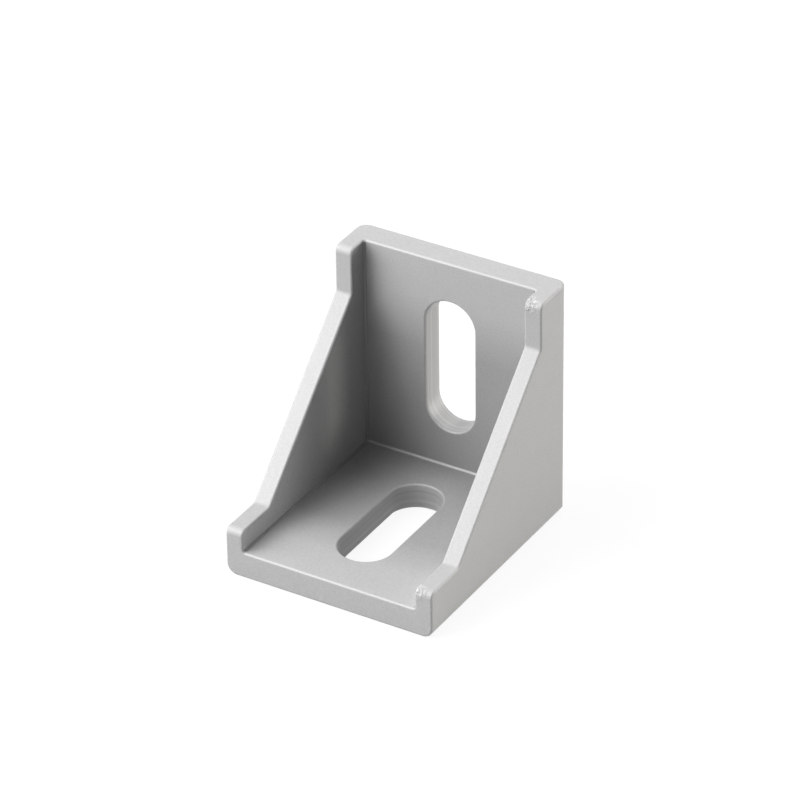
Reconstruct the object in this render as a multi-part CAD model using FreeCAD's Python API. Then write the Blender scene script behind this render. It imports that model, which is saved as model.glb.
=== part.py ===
import FreeCAD, Part
import os
from math import acos, degrees, hypot, tan

# A cast aluminium corner bracket that joins two lengths of slotted framing at a right angle.
# It is one L-shaped casting: a base and a back plate, each with a bolt slot, and two side walls.
# The origin is the middle of the footprint, on the base's mounting face. Z is up, the back
# faces +Y and the open front faces -Y. The two halves mirror each other across X = 0.

# Overall sizes, in millimetres
width = 35.4
base_length = 40.0
back_height = 40.0

# Thicknesses of the casting
base_thickness = 4.4
back_thickness = 4.4
wall_thickness = 2.9

# Rims, where the side walls run level at the front of the base and upright at the top of the back
base_rim_height = 8.0
base_rim_length = 7.8
back_rim_depth = 8.0
back_rim_length = 7.8

# Bolt slots, placed from the outer faces that meet at the heel
slot_width = 8.5
slot_travel = 14.2
base_slot_from_heel = 22.0
back_slot_from_heel = 22.0

# Rounds and fillets of the casting
outer_radius = 1.7
heel_radius = 1.2
tip_radius = 1.2
bend_radius = 1.0
pocket_fillet = 0.4
edge_round = 0.35
slot_chamfer = 0.4

front_y = -base_length / 2
heel_y = base_length / 2
back_face_y = heel_y - back_thickness
tolerance = 1e-4


def rounded_outline(corners, place):
    """Closed wire through the (u, v, radius) corners, with an arc at each corner that has a radius.

    place turns a (u, v) pair into a point in space."""
    count = len(corners)
    arcs = []
    for index, (u, v, radius) in enumerate(corners):
        corner = FreeCAD.Vector(u, v, 0)
        last_u, last_v, _ = corners[index - 1]
        next_u, next_v, _ = corners[(index + 1) % count]
        back = (FreeCAD.Vector(last_u, last_v, 0) - corner).normalize()
        ahead = (FreeCAD.Vector(next_u, next_v, 0) - corner).normalize()
        setback = radius / tan(acos(back.dot(ahead)) / 2)
        inward = (back + ahead).normalize() * (hypot(setback, radius) - radius)
        points = (corner + back * setback, corner + inward, corner + ahead * setback)
        arcs.append([place(point.x, point.y) for point in points])
    edges = []
    for index, (start, middle, end) in enumerate(arcs):
        if corners[index][2] > 0:
            edges.append(Part.Arc(start, middle, end).toShape())
        edges.append(Part.makeLine(end, arcs[(index + 1) % count][0]))
    return Part.Wire(edges)


def side_outline_body():
    """The bracket seen from the side: base, back, rims and sloping walls, solid across its width."""
    corners = [
        (heel_y, 0, heel_radius),
        (front_y, 0, 0),
        (front_y, base_rim_height, tip_radius),
        (front_y + base_rim_length, base_rim_height, bend_radius),
        (heel_y - back_rim_depth, back_height - back_rim_length, bend_radius),
        (heel_y - back_rim_depth, back_height, tip_radius),
        (heel_y, back_height, 0),
    ]
    outline = rounded_outline(corners, lambda y, z: FreeCAD.Vector(-width / 2, y, z))
    return Part.Face(outline).extrude(FreeCAD.Vector(width, 0, 0))


def base_rounding():
    """Prism along Y with the rounded long edges of the base's underside."""
    half = width / 2
    corners = [
        (-half, 0, outer_radius),
        (half, 0, outer_radius),
        (half, back_height, 0),
        (-half, back_height, 0),
    ]
    outline = rounded_outline(corners, lambda x, z: FreeCAD.Vector(x, front_y, z))
    return Part.Face(outline).extrude(FreeCAD.Vector(0, base_length, 0))


def back_rounding():
    """Prism along Z with the rounded long edges of the back's mounting face."""
    half = width / 2
    corners = [
        (-half, heel_y, outer_radius),
        (half, heel_y, outer_radius),
        (half, front_y, 0),
        (-half, front_y, 0),
    ]
    outline = rounded_outline(corners, lambda x, y: FreeCAD.Vector(x, y, 0))
    return Part.Face(outline).extrude(FreeCAD.Vector(0, 0, back_height))


def pocket():
    """The hollow between the walls, above the base and in front of the back, with filleted corners."""
    inner_width = width - 2 * wall_thickness
    depth = back_face_y - front_y
    height = back_height - base_thickness
    origin = FreeCAD.Vector(-inner_width / 2, front_y - depth, base_thickness)
    hollow = Part.makeBox(inner_width, 2 * depth, 2 * height, origin)

    def bounds_the_corner(edge):
        box = edge.BoundBox
        on_floor = box.ZMax < base_thickness + tolerance and box.YMax > back_face_y - tolerance
        up_the_back = box.YMin > back_face_y - tolerance and box.ZMin < base_thickness + tolerance
        return on_floor or up_the_back

    return hollow.makeFillet(pocket_fillet, [edge for edge in hollow.Edges if bounds_the_corner(edge)])


def slot(centre, along, through, thickness):
    """Bolt slot through a plate: two half rounds joined by straight sides."""
    radius = slot_width / 2
    reach = along * (slot_travel / 2)
    across = along.cross(through) * radius
    near = centre - reach
    far = centre + reach
    outline = Part.Wire([
        Part.makeLine(near - across, far - across),
        Part.Arc(far - across, far + along * radius, far + across).toShape(),
        Part.makeLine(far + across, near + across),
        Part.Arc(near + across, near - along * radius, near - across).toShape(),
    ])
    return Part.Face(outline).extrude(through * thickness)


def bolt_slots():
    """The slot in the base, which runs along Y, and the slot in the back, which runs along Z."""
    axis_y = FreeCAD.Vector(0, 1, 0)
    axis_z = FreeCAD.Vector(0, 0, 1)
    base_centre = FreeCAD.Vector(0, heel_y - base_slot_from_heel, 0)
    back_centre = FreeCAD.Vector(0, back_face_y, back_slot_from_heel)
    return [
        slot(base_centre, axis_y, axis_z, base_thickness),
        slot(back_centre, axis_z, axis_y, back_thickness),
    ]


def normal_at(face, point):
    u, v = face.Surface.parameter(point)
    return face.normalAt(u, v)


def crisp_edges(body):
    """Edges where two faces meet at a corner, apart from the mitred ones at the heel."""
    found = []
    for edge in body.Edges:
        faces = body.ancestorsOfType(edge, Part.Face)
        if len(faces) != 2:
            continue
        first, last = edge.ParameterRange
        middle = edge.valueAt((first + last) / 2)
        turn = normal_at(faces[0], middle).getAngle(normal_at(faces[1], middle))
        at_heel = middle.y > heel_y - outer_radius and middle.z < outer_radius
        if degrees(turn) > 20 and not at_heel:
            found.append(edge)
    return found


def is_slot_mouth(edge):
    """True for an edge of a slot that lies in one of the two mounting faces."""
    box = edge.BoundBox
    on_mounting_face = box.ZMax < tolerance or box.YMin > heel_y - tolerance
    return on_mounting_face and max(box.XMax, -box.XMin) < slot_width / 2 + tolerance


def corner_bracket():
    """The whole casting. Its edges are softened, and the slots are chamfered on the mounting faces."""
    body = side_outline_body().common(base_rounding()).common(back_rounding())
    body = body.cut(pocket())
    for cutter in bolt_slots():
        body = body.cut(cutter)
    body = body.makeFillet(edge_round, [edge for edge in crisp_edges(body) if not is_slot_mouth(edge)])
    return body.makeChamfer(slot_chamfer, [edge for edge in body.Edges if is_slot_mouth(edge)])


os.makedirs("parts", exist_ok=True)
bracket = corner_bracket()
bracket.exportStep("parts/corner_bracket.step")
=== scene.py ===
from math import cos, radians, sin, sqrt

import bmesh
import bpy
from mathutils import Euler, Matrix, Vector


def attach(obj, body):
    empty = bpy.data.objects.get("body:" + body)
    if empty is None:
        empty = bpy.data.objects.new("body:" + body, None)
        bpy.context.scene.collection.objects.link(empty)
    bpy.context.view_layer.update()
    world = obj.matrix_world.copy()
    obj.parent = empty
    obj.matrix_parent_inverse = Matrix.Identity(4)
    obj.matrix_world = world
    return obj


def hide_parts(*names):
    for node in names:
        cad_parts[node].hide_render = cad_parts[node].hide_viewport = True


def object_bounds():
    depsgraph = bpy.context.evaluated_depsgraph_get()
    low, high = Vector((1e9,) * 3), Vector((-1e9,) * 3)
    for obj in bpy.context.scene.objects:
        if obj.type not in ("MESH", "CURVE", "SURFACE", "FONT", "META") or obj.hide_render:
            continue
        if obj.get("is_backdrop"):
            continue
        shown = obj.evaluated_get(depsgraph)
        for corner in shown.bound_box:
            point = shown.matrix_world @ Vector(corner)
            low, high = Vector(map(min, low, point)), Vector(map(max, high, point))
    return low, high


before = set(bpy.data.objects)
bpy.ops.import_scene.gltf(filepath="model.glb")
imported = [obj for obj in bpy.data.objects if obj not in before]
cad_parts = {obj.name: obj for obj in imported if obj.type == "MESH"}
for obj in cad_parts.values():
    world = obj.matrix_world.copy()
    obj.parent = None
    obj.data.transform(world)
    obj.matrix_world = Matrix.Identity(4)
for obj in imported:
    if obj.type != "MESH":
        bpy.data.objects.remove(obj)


def box_as_lists(bounds):
    return [list(corner) for corner in bounds]


cad_box = box_as_lists(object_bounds())

# The casting.
# One piece of die-cast aluminium alloy: a base, a back plate and two side walls. It was trimmed and
# then shot-blasted all over, so its broad faces are matt and its edges are softly worn.
mm = 0.001
front = cad_box[0][1]
half_width, heel, top = cad_box[1]
plate_thickness = 4.4 * mm
wall_thickness = 2.9 * mm
rim_height = 8.0 * mm  # of both rims, measured from the outer faces
slot_half_width = 4.25 * mm
edge_round = 0.35 * mm
joint_fillet = 0.4 * mm
pocket_half_width = half_width - wall_thickness
back_inside = heel - plate_thickness

# Its solid arrives as loose triangles, so a copy is joined at the seams and shaded smooth.
seam_gap = 0.0005 * mm
casting_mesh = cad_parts["corner_bracket"].data.copy()
casting_mesh.materials.clear()
mesh = bmesh.new()
mesh.from_mesh(casting_mesh)
bmesh.ops.remove_doubles(mesh, verts=mesh.verts, dist=seam_gap)

# Each face is marked for its finish or for painted light and shade, by where it lies and how it leans: the
# slots' walls with the way that their slot goes through, the floor and back of the pocket, and its side
# walls. The joints along those walls and the front's lower edge are marked for painted shade. Three soft
# lines across, facing forward and up, are marked
# for a painted highlight: at the front, at the top, and where the back stands on the base.
slot_through = mesh.faces.layers.float_vector.new("slot_through")
in_pocket, pocket_wall, painted_shade, painted_highlight = (
    mesh.faces.layers.float.new(name) for name in ("in_pocket", "pocket_wall", "painted_shade", "painted_highlight"))
hardly, partly, mostly = 0.1, 0.3, 0.9  # shares of a face's normal along an axis
hair = 0.01 * mm  # keeps a flat wall out of the joint at its foot
slack = 0.05 * mm
edge_reach = 0.5 * mm  # a little more than a soft edge or a joint takes up
clear_of_edges = 1.0 * mm
for face in mesh.faces:
    face.smooth = True
    normal, centre = face.normal, face.calc_center_median()
    across = abs(centre.x)
    beside_slot = across < slot_half_width + slack
    in_base = centre.z < plate_thickness and abs(centre.y) < heel - clear_of_edges
    in_back = centre.y > back_inside and clear_of_edges < centre.z < top - clear_of_edges
    in_hollow = (across < pocket_half_width + slack and centre.y < back_inside + slack
                 and centre.z > plate_thickness - slack)
    at_front = centre.y < front + edge_reach
    at_top = centre.z > top - edge_reach
    if beside_slot and in_base and abs(normal.z) < hardly:
        face[slot_through] = (0, 0, 1)
    elif beside_slot and in_back and abs(normal.y) < hardly:
        face[slot_through] = (0, 1, 0)
    # The pocket's floor, back and side walls are marked for painted light and shade.
    elif in_hollow:
        in_joint = pocket_half_width - joint_fillet < across < pocket_half_width - hair
        face[pocket_wall if abs(normal.x) > mostly else in_pocket] = 1.0
        # The joints along the side walls take painted shade.
        face[painted_shade] = float(in_joint and not at_front and not at_top)
    # The front's lower edge takes a painted contact shadow.
    elif centre.z < edge_round - slack and centre.y < front + edge_round - slack:
        face[painted_shade] = 1.0
    # The lines across that face forward and up take a painted highlight.
    at_back_joint = centre.y > back_inside - edge_reach and centre.z < plate_thickness + edge_reach
    looks_forward_and_up = abs(normal.x) < hardly and normal.y < -partly and normal.z > partly
    if across < pocket_half_width - edge_reach and looks_forward_and_up:
        face[painted_highlight] = float(at_front or at_top or at_back_joint)
mesh.to_mesh(casting_mesh)
mesh.free()
casting = bpy.data.objects.new("bracket_casting", casting_mesh)
bpy.context.scene.collection.objects.link(casting)

# The broad faces are weighted so that they stay flat beside the small rounds.
flat_faces = casting.modifiers.new("flat_faces", "WEIGHTED_NORMAL")
flat_faces.mode = "FACE_AREA"
flat_faces.weight = 100
flat_faces.thresh = 0.01


def colour(hex_value):
    """An sRGB hex colour as the linear colour that a shader takes."""
    channels = [int(hex_value[index : index + 2], 16) / 255 for index in (1, 3, 5)]
    return [c / 12.92 if c <= 0.04045 else ((c + 0.055) / 1.055) ** 2.4 for c in channels] + [1.0]


def add_node(tree, kind, inputs=(), **settings):
    """Adds a node, sets its properties, and fills each (socket, value or output) pair of inputs."""
    node = tree.nodes.new(kind)
    for name, value in settings.items():
        setattr(node, name, value)
    for socket, value in inputs:
        if isinstance(value, bpy.types.NodeSocket):
            tree.links.new(value, node.inputs[socket])
        else:
            node.inputs[socket].default_value = value
    return node


# Die-cast aluminium alloy, shot-blasted: a matt pale grey with a fine even grain and a faint mottle.
# The blasted skin scatters light nearly as paint does, so only a small share of it is metallic.
# Coats of other tones lie over the plain one: the share that each covers, its colour, and its blend.
grain_size = 0.3 * mm  # about twice that of real blasting, so that it shows in the photograph's view
mottle_size = 2.6 * mm
blasted = bpy.data.materials.new("shot_blasted_cast_aluminium")
blasted.use_nodes = True
tree = blasted.node_tree
tree.nodes.clear()
place = add_node(tree, "ShaderNodeTexCoord").outputs["Object"]
grain = add_node(tree, "ShaderNodeTexNoise",
                 [("Vector", place), ("Scale", 1 / grain_size), ("Detail", 2.0)]).outputs["Fac"]
mottle = add_node(tree, "ShaderNodeTexNoise",
                  [("Vector", place), ("Scale", 1 / mottle_size), ("Detail", 4.0)]).outputs["Fac"]
tone = add_node(tree, "ShaderNodeMix",
                [("Factor", mottle), ("A", colour("#A8A8A8")), ("B", colour("#B0B0B0"))],
                data_type="RGBA").outputs["Result"]
speck = add_node(tree, "ShaderNodeMapRange",
                 [("Value", grain), ("From Min", 0.35), ("From Max", 0.7)]).outputs["Result"]
coats = [(speck, colour("#B5B5B5"), "MIX")]

# The pocket's floor and back get painted shade, darker the deeper they lie below the line of the slopes;
# its side walls are painted lighter near the open front and darker the further in they lie. Painted shade
# darkens the front's lower edge and, more so further in, the joints along the walls. The lines across get a
# painted highlight.
slope_line = 14.3 * mm  # how far the line of the slopes lies from the frame's X axis
shade_starts, shade_ends = 2 * mm, 8 * mm
wall_starts, wall_ends = -9 * mm, 4 * mm
back_and_down = (0.0, sqrt(0.5), -sqrt(0.5))
behind = add_node(tree, "ShaderNodeVectorMath", [(0, place), (1, back_and_down)],
                  operation="DOT_PRODUCT").outputs["Value"]
by_depth = add_node(tree, "ShaderNodeMapRange",
                    [("Value", behind), ("From Min", shade_starts - slope_line),
                     ("From Max", shade_ends - slope_line), ("To Min", 1.0), ("To Max", 0.74)])
along = add_node(tree, "ShaderNodeSeparateXYZ", [("Vector", place)]).outputs["Y"]
further_in = add_node(tree, "ShaderNodeMapRange",
                      [("Value", along), ("From Min", wall_starts), ("From Max", wall_ends)])
# Painted light and shade on the pocket's side walls: lighter near the open front, darker further in.
by_reach = add_node(tree, "ShaderNodeMapRange",
                    [("Value", further_in.outputs["Result"]), ("To Min", 1.4), ("To Max", 0.65)])
# Painted shade for the joints and the front's lower edge, darker further in.
shade_tone = add_node(tree, "ShaderNodeMix",
                [("Factor", further_in.outputs["Result"]), ("A", colour("#929292")),
                 ("B", colour("#808080"))], data_type="RGBA")
# The marks lay painted shade on the pocket and its joints, painted light near the walls' front, and a
# painted highlight on the lines across.
for mark, paint, blend in (
    ("in_pocket", by_depth.outputs["Result"], "MULTIPLY"),
    ("pocket_wall", by_reach.outputs["Result"], "MULTIPLY"),
    ("painted_shade", shade_tone.outputs["Result"], "MIX"),
    ("painted_highlight", colour("#B8B8B8"), "MIX"),
):
    marked = add_node(tree, "ShaderNodeAttribute", attribute_name=mark)
    coats.append((marked.outputs["Fac"], paint, blend))

# Trimming the slots has left faint lines round their walls, each at one depth.
line_pitch = 0.9 * mm
slot_way = add_node(tree, "ShaderNodeAttribute", attribute_name="slot_through").outputs["Vector"]
in_slot = add_node(tree, "ShaderNodeVectorMath", [(0, slot_way)], operation="LENGTH").outputs["Value"]
down_slot = add_node(tree, "ShaderNodeVectorMath", [(0, place), (1, slot_way)],
                     operation="DOT_PRODUCT").outputs["Value"]
lines = add_node(tree, "ShaderNodeTexNoise", [("W", down_slot), ("Scale", 1 / line_pitch), ("Detail", 3.0)],
                 noise_dimensions="1D").outputs["Fac"]
line = add_node(tree, "ShaderNodeMapRange",
                [("Value", lines), ("From Min", 0.35), ("From Max", 0.65)]).outputs["Result"]
lined = add_node(tree, "ShaderNodeMix",
                 [("Factor", line), ("A", colour("#9A9A9A")), ("B", colour("#B4B4B4"))],
                 data_type="RGBA").outputs["Result"]
coats.append((in_slot, lined, "MIX"))

# Knocks have scuffed the right wall's two tips into bright chips, a little in from their inner corners.
scuff_size = 0.45 * mm
scuff_core, scuff_reach = 0.9 * mm, 1.9 * mm
base_tip = Vector((pocket_half_width, front, rim_height))
back_tip = Vector((pocket_half_width, heel - rim_height, top))
base_scuff = base_tip + Vector((0.1, 0.3, -0.1)) * mm
back_scuff = back_tip + Vector((0.8, 0.2, -0.1)) * mm
nearest = 1.0  # in metres, further than any place on the bracket
for middle in (base_scuff, back_scuff):
    away = add_node(tree, "ShaderNodeVectorMath", [(0, place), (1, middle)], operation="DISTANCE")
    nearest = add_node(tree, "ShaderNodeMath", [(0, nearest), (1, away.outputs["Value"])],
                       operation="MINIMUM").outputs[0]
chips = add_node(tree, "ShaderNodeTexNoise",
                 [("Vector", place), ("Scale", 1 / scuff_size), ("Detail", 2.0)]).outputs["Fac"]
chip = add_node(tree, "ShaderNodeMapRange",
                [("Value", chips), ("From Min", 0.4), ("From Max", 0.62)]).outputs["Result"]
near_tip = add_node(tree, "ShaderNodeMapRange",
                    [("Value", nearest), ("From Min", scuff_core), ("From Max", scuff_reach),
                     ("To Min", 1.0), ("To Max", 0.0)]).outputs["Result"]
scuff = add_node(tree, "ShaderNodeMath", [(0, near_tip), (1, chip)], operation="MULTIPLY").outputs[0]
coats.append((scuff, colour("#D2D2D2"), "MIX"))

# The coats are laid on in this order, and the grain and the chips also dent the surface.
dent_depth = 0.045 * mm
chip_depth = 0.2 * mm
for share, paint, blend in coats:
    tone = add_node(tree, "ShaderNodeMix", [("Factor", share), ("A", tone), ("B", paint)],
                    data_type="RGBA", blend_type=blend).outputs["Result"]
matt = add_node(tree, "ShaderNodeMapRange", [("Value", grain), ("To Min", 0.50), ("To Max", 0.62)])
dents = add_node(tree, "ShaderNodeBump", [("Height", grain), ("Strength", 0.5), ("Distance", dent_depth)])
chipped = add_node(tree, "ShaderNodeBump", [("Height", scuff), ("Strength", 0.8), ("Distance", chip_depth),
                   ("Normal", dents.outputs["Normal"])])
metal = add_node(tree, "ShaderNodeBsdfPrincipled", [("Base Color", tone), ("Metallic", 0.15),
                 ("Roughness", matt.outputs["Result"]), ("Normal", chipped.outputs["Normal"])])
add_node(tree, "ShaderNodeOutputMaterial", [("Surface", metal.outputs["BSDF"])])
casting_mesh.materials.append(blasted)

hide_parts("corner_bracket")
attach(casting, "root")

# The floor and the light around it.
# A white paper sheet under softboxes. It is seen as white, with only the bracket's faint shadow on it,
# and lights the bracket as a grey table in a dark room, as the deep shadows in the photograph show.


def seen_straight(tree):
    """1 for the rays by which the camera, metal and glass see a surface, and 0 for its light on others."""
    rays = add_node(tree, "ShaderNodeLightPath")
    seen = rays.outputs["Is Camera Ray"]
    for kind in ("Is Glossy Ray", "Is Transmission Ray"):
        seen = add_node(tree, "ShaderNodeMath", [(0, seen), (1, rays.outputs[kind])],
                        operation="MAXIMUM").outputs[0]
    return seen


floor_size = 4.0
floor_gap = 0.05 * mm  # keeps the floor out of the plane of the bracket's underside
bpy.ops.mesh.primitive_plane_add(size=floor_size, location=(0, 0, -floor_gap))
floor = bpy.context.object
floor.name = "floor"
paper = bpy.data.materials.new("white_paper_floor")
paper.use_nodes = True
tree = paper.node_tree
tree.nodes.clear()
sheet = add_node(tree, "ShaderNodeBsdfDiffuse", [("Color", colour("#C4C4C4"))])
faint = add_node(tree, "ShaderNodeBsdfDiffuse", [("Color", colour("#616161"))])
lift = add_node(tree, "ShaderNodeEmission", [("Color", colour("#FFFFFF")), ("Strength", 0.9)])
lifted = add_node(tree, "ShaderNodeAddShader", [(0, faint.outputs[0]), (1, lift.outputs[0])])
surface = add_node(tree, "ShaderNodeMixShader",
                   [("Fac", seen_straight(tree)), (1, sheet.outputs[0]), (2, lifted.outputs[0])])
add_node(tree, "ShaderNodeOutputMaterial", [("Surface", surface.outputs[0])])
floor.data.materials.append(paper)
floor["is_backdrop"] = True

world = bpy.data.worlds.new("studio")
bpy.context.scene.world = world
world.use_nodes = True
tree = world.node_tree
tree.nodes.clear()
room = add_node(tree, "ShaderNodeBackground", [("Color", colour("#FFFFFF")), ("Strength", 0.02)])
white = add_node(tree, "ShaderNodeBackground", [("Color", colour("#FFFFFF")), ("Strength", 1.0)])
backdrop = add_node(tree, "ShaderNodeMixShader",
                    [("Fac", seen_straight(tree)), (1, room.outputs[0]), (2, white.outputs[0])])
add_node(tree, "ShaderNodeOutputWorld", [("Surface", backdrop.outputs[0])])

softbox_distance = 0.8
low, high = (Vector(corner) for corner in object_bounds())
bracket_middle = (low + high) / 2


def towards(azimuth, elevation):
    """Unit vector towards a place azimuth degrees round from the open front and elevation degrees up."""
    side, height = radians(azimuth), radians(elevation)
    return Vector((sin(side) * cos(height), -cos(side) * cos(height), sin(height)))


def add_softbox(name, azimuth, elevation, size, power, tint="#FFFFFF"):
    """A square lamp that looks at the bracket from the given side and height, in degrees."""
    lamp = bpy.data.lights.new(name, "AREA")
    lamp.shape = "SQUARE"
    lamp.size = size
    lamp.energy = power
    lamp.color = colour(tint)[:3]
    holder = bpy.data.objects.new(name, lamp)
    away = towards(azimuth, elevation)
    holder.location = bracket_middle + away * softbox_distance
    holder.rotation_euler = away.to_track_quat("Z", "Y").to_euler()
    bpy.context.scene.collection.objects.link(holder)


add_softbox("key_softbox", azimuth=-47, elevation=33, size=0.8, power=7.7)
add_softbox("left_softbox", azimuth=-65, elevation=45, size=0.9, power=5.3)
add_softbox("top_softbox", azimuth=180, elevation=60, size=0.5, power=2.6)
add_softbox("side_softbox", azimuth=125, elevation=8, size=0.3, power=4.5, tint="#FFFDF8")

# The camera.
# A long lens, to the right of the open front and above it, where the photograph was taken from. Its
# place and aim were solved from the bracket's straight edges and corners.
view_azimuth = 31.29
view_elevation = 31.98
view_roll = -0.78
view_distance = 717.8 * mm
lens_pixels = 4858.5  # focal length, in pixels of the photograph
image_pixels = 800
aim = Vector((-0.65, 2.12, 23.44)) * mm
lens = bpy.data.cameras.new("camera")
lens.sensor_width = 36.0
lens.lens = lens.sensor_width * lens_pixels / image_pixels
lens.clip_start = 0.01
camera = bpy.data.objects.new("camera", lens)
camera.location = aim + towards(view_azimuth, view_elevation) * view_distance
level = Euler((radians(90 - view_elevation), 0, radians(view_azimuth))).to_matrix()
camera.rotation_euler = (level @ Matrix.Rotation(radians(view_roll), 3, "Z")).to_euler()
bpy.context.scene.collection.objects.link(camera)
bpy.context.scene.camera = camera
bpy.context.scene.view_settings.view_transform = "Standard"
